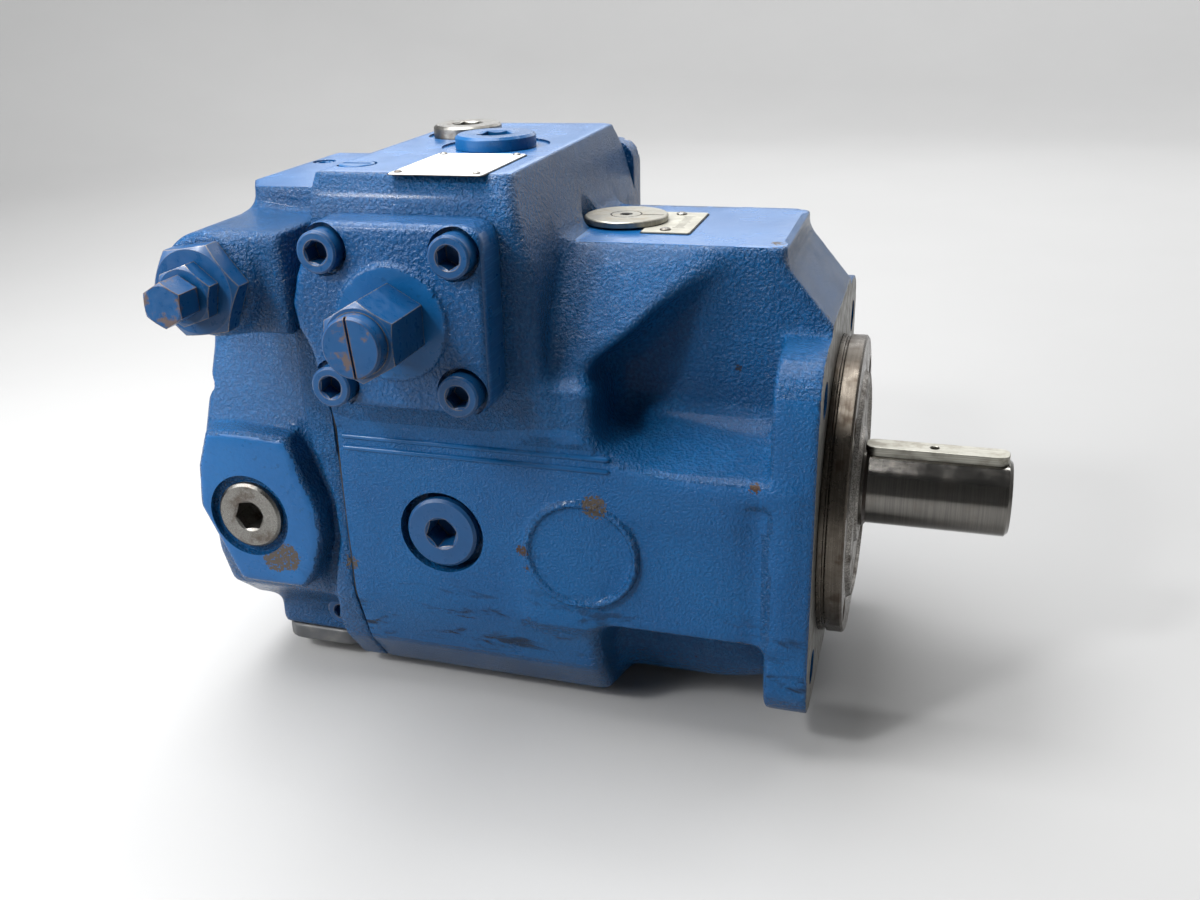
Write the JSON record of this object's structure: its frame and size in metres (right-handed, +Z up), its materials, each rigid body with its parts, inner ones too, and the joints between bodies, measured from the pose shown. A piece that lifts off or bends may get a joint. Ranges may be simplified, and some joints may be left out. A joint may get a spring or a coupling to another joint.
{
  "type": "axial piston pump",
  "caption": "Swash-plate axial piston pump with variable displacement, square pilot flange, keyed shaft, pressure controller, stroke limiter and swivel angle indicator.",
  "frame": {"origin": "drive shaft axis at the flange's mounting face", "axes": "+X along the drive shaft, out of the pump; +Z up towards the swivel angle indicator; -Y towards the side with the stroke limiter and the pressure adjuster"},
  "size_m": [0.332, 0.227, 0.237],
  "materials": {
    "cast_blue": "gloss enamel over sand-cast iron",
    "machined_blue": "thin gloss enamel over machined faces",
    "fastener_blue": "gloss enamel over machined steel",
    "bare_steel": "turned and ground",
    "shaft_steel": "ground",
    "key_steel": "drawn",
    "carrier_iron": "bare, coarse turned",
    "plated_steel": "zinc plated",
    "black_screw": "black oxide",
    "spring_steel": "oil tempered",
    "bearing_steel": "ground",
    "bronze": "machined bronze",
    "cradle_iron": "machined",
    "seal_rubber": "matt",
    "disc_steel": "aged zinc plate",
    "scale_plate": "satin, lightly yellowed",
    "nameplate": "white, blank",
    "cap_plastic": "moulded",
    "gasket_fibre": "matt"
  },
  "bodies": {
    "housing": {"pump_housing": "cast_blue", "pilot_cover": "bare_steel", "pilot_cover_screws": "black_screw", "seal_carrier": "carrier_iron", "seal_carrier_o_ring": "seal_rubber", "shaft_seal": "seal_rubber", "front_bearing_outer": "bearing_steel", "rear_bearing_outer": "bearing_steel", "valve_plate": "bronze", "valve_plate_pin": "bearing_steel", "cradle_shells": "bearing_steel", "spindle_bush": "bronze", "scale_plate": "scale_plate", "scale_plate_pins": "plated_steel", "stroke_spring": "spring_steel", "stroke_cover_near": "cast_blue", "near_cover_screws": "fastener_blue", "stroke_cover_far": "cast_blue", "far_cover_screws": "fastener_blue", "limiter_lock_nut": "fastener_blue", "control_valve_housing": "cast_blue", "control_valve_screws": "fastener_blue", "control_spring": "spring_steel", "control_end_plug": "fastener_blue", "adjuster_plug": "fastener_blue", "adjuster_lock_nut": "fastener_blue", "top_plug_large": "fastener_blue", "top_plug_small": "plated_steel", "slotted_plug": "fastener_blue", "valve_body_plug": "fastener_blue", "side_plug": "fastener_blue", "port_plate": "cast_blue", "port_plate_gasket": "gasket_fibre", "port_plate_screws": "fastener_blue", "rear_port_plug": "plated_steel", "lower_plug": "fastener_blue", "suction_port_cap": "cap_plastic", "nameplate": "nameplate"},
    "rotor": {"drive_shaft": "shaft_steel", "shaft_key": "key_steel", "front_bearing_inner": "bearing_steel", "rear_bearing_inner": "bearing_steel", "cylinder_block": "bronze", "pistons": "bearing_steel", "retaining_ball": "bearing_steel", "block_spring": "spring_steel"},
    "front_roller_set": {"front_bearing_rollers": "bearing_steel"},
    "rear_roller_set": {"rear_bearing_rollers": "bearing_steel"},
    "swash": {"swash_cradle": "cradle_iron", "indicator_spindle": "bearing_steel", "indicator_disc": "disc_steel", "indicator_screw": "black_screw"},
    "slipper_set": {"slippers": "bronze", "retainer_plate": "bearing_steel"},
    "cradle_roller_set": {"cradle_rollers": "bearing_steel"},
    "stroke_piston": {"stroking_piston": "bearing_steel"},
    "spool": {"control_spool": "bearing_steel"},
    "limiter": {"stroke_limiter_screw": "fastener_blue"},
    "adjuster": {"adjusting_screw": "fastener_blue", "control_spring_seat": "bearing_steel"}
  },
  "joints": [
    {"name": "shaft_spin", "type": "hinge", "parent": "housing", "child": "rotor", "pos_m": [0, 0, 0], "axis": [1, 0, 0], "continuous": true},
    {"name": "front_roller_orbit", "type": "hinge", "parent": "housing", "child": "front_roller_set", "pos_m": [0, 0, 0], "axis": [1, 0, 0], "continuous": true},
    {"name": "rear_roller_orbit", "type": "hinge", "parent": "housing", "child": "rear_roller_set", "pos_m": [0, 0, 0], "axis": [1, 0, 0], "continuous": true},
    {"name": "swash_swivel", "type": "hinge", "parent": "housing", "child": "swash", "pos_m": [-0.089, 0, 0], "axis": [0, 0, 1], "range_deg": [0, 15], "deforming": ["pistons"]},
    {"name": "slipper_spin", "type": "hinge", "parent": "swash", "child": "slipper_set", "pos_m": [-0.089, 0, 0], "axis": [1, 0, 0], "continuous": true},
    {"name": "cradle_roller_swing", "type": "hinge", "parent": "housing", "child": "cradle_roller_set", "pos_m": [-0.089, 0, 0], "axis": [0, 0, 1], "range_deg": [0, 7.5]},
    {"name": "stroke_slide", "type": "slide", "parent": "housing", "child": "stroke_piston", "axis": [0, -1, 0], "range_m": [0, 0.0164], "deforming": ["stroke_spring"]},
    {"name": "spool_slide", "type": "slide", "parent": "housing", "child": "spool", "axis": [0, 1, 0], "range_m": [-0.0015, 0.0015], "deforming": ["control_spring"]},
    {"name": "limiter_adjust", "type": "slide", "parent": "housing", "child": "limiter", "axis": [0, -1, 0], "range_m": [-0.002, 0.006]},
    {"name": "pressure_adjust", "type": "slide", "parent": "housing", "child": "adjuster", "axis": [0, -1, 0], "range_m": [-0.0012, 0.004], "deforming": ["control_spring"]}
  ],
  "couplings": [
    {"joint": "slipper_spin", "follows": "shaft_spin", "ratio": 1},
    {"joint": "front_roller_orbit", "follows": "shaft_spin", "ratio": 0.408},
    {"joint": "rear_roller_orbit", "follows": "shaft_spin", "ratio": 0.3987},
    {"joint": "cradle_roller_swing", "follows": "swash_swivel", "ratio": 0.477},
    {"joint": "stroke_slide", "follows": "swash_swivel", "m_per_rad": 0.06228}
  ]
}
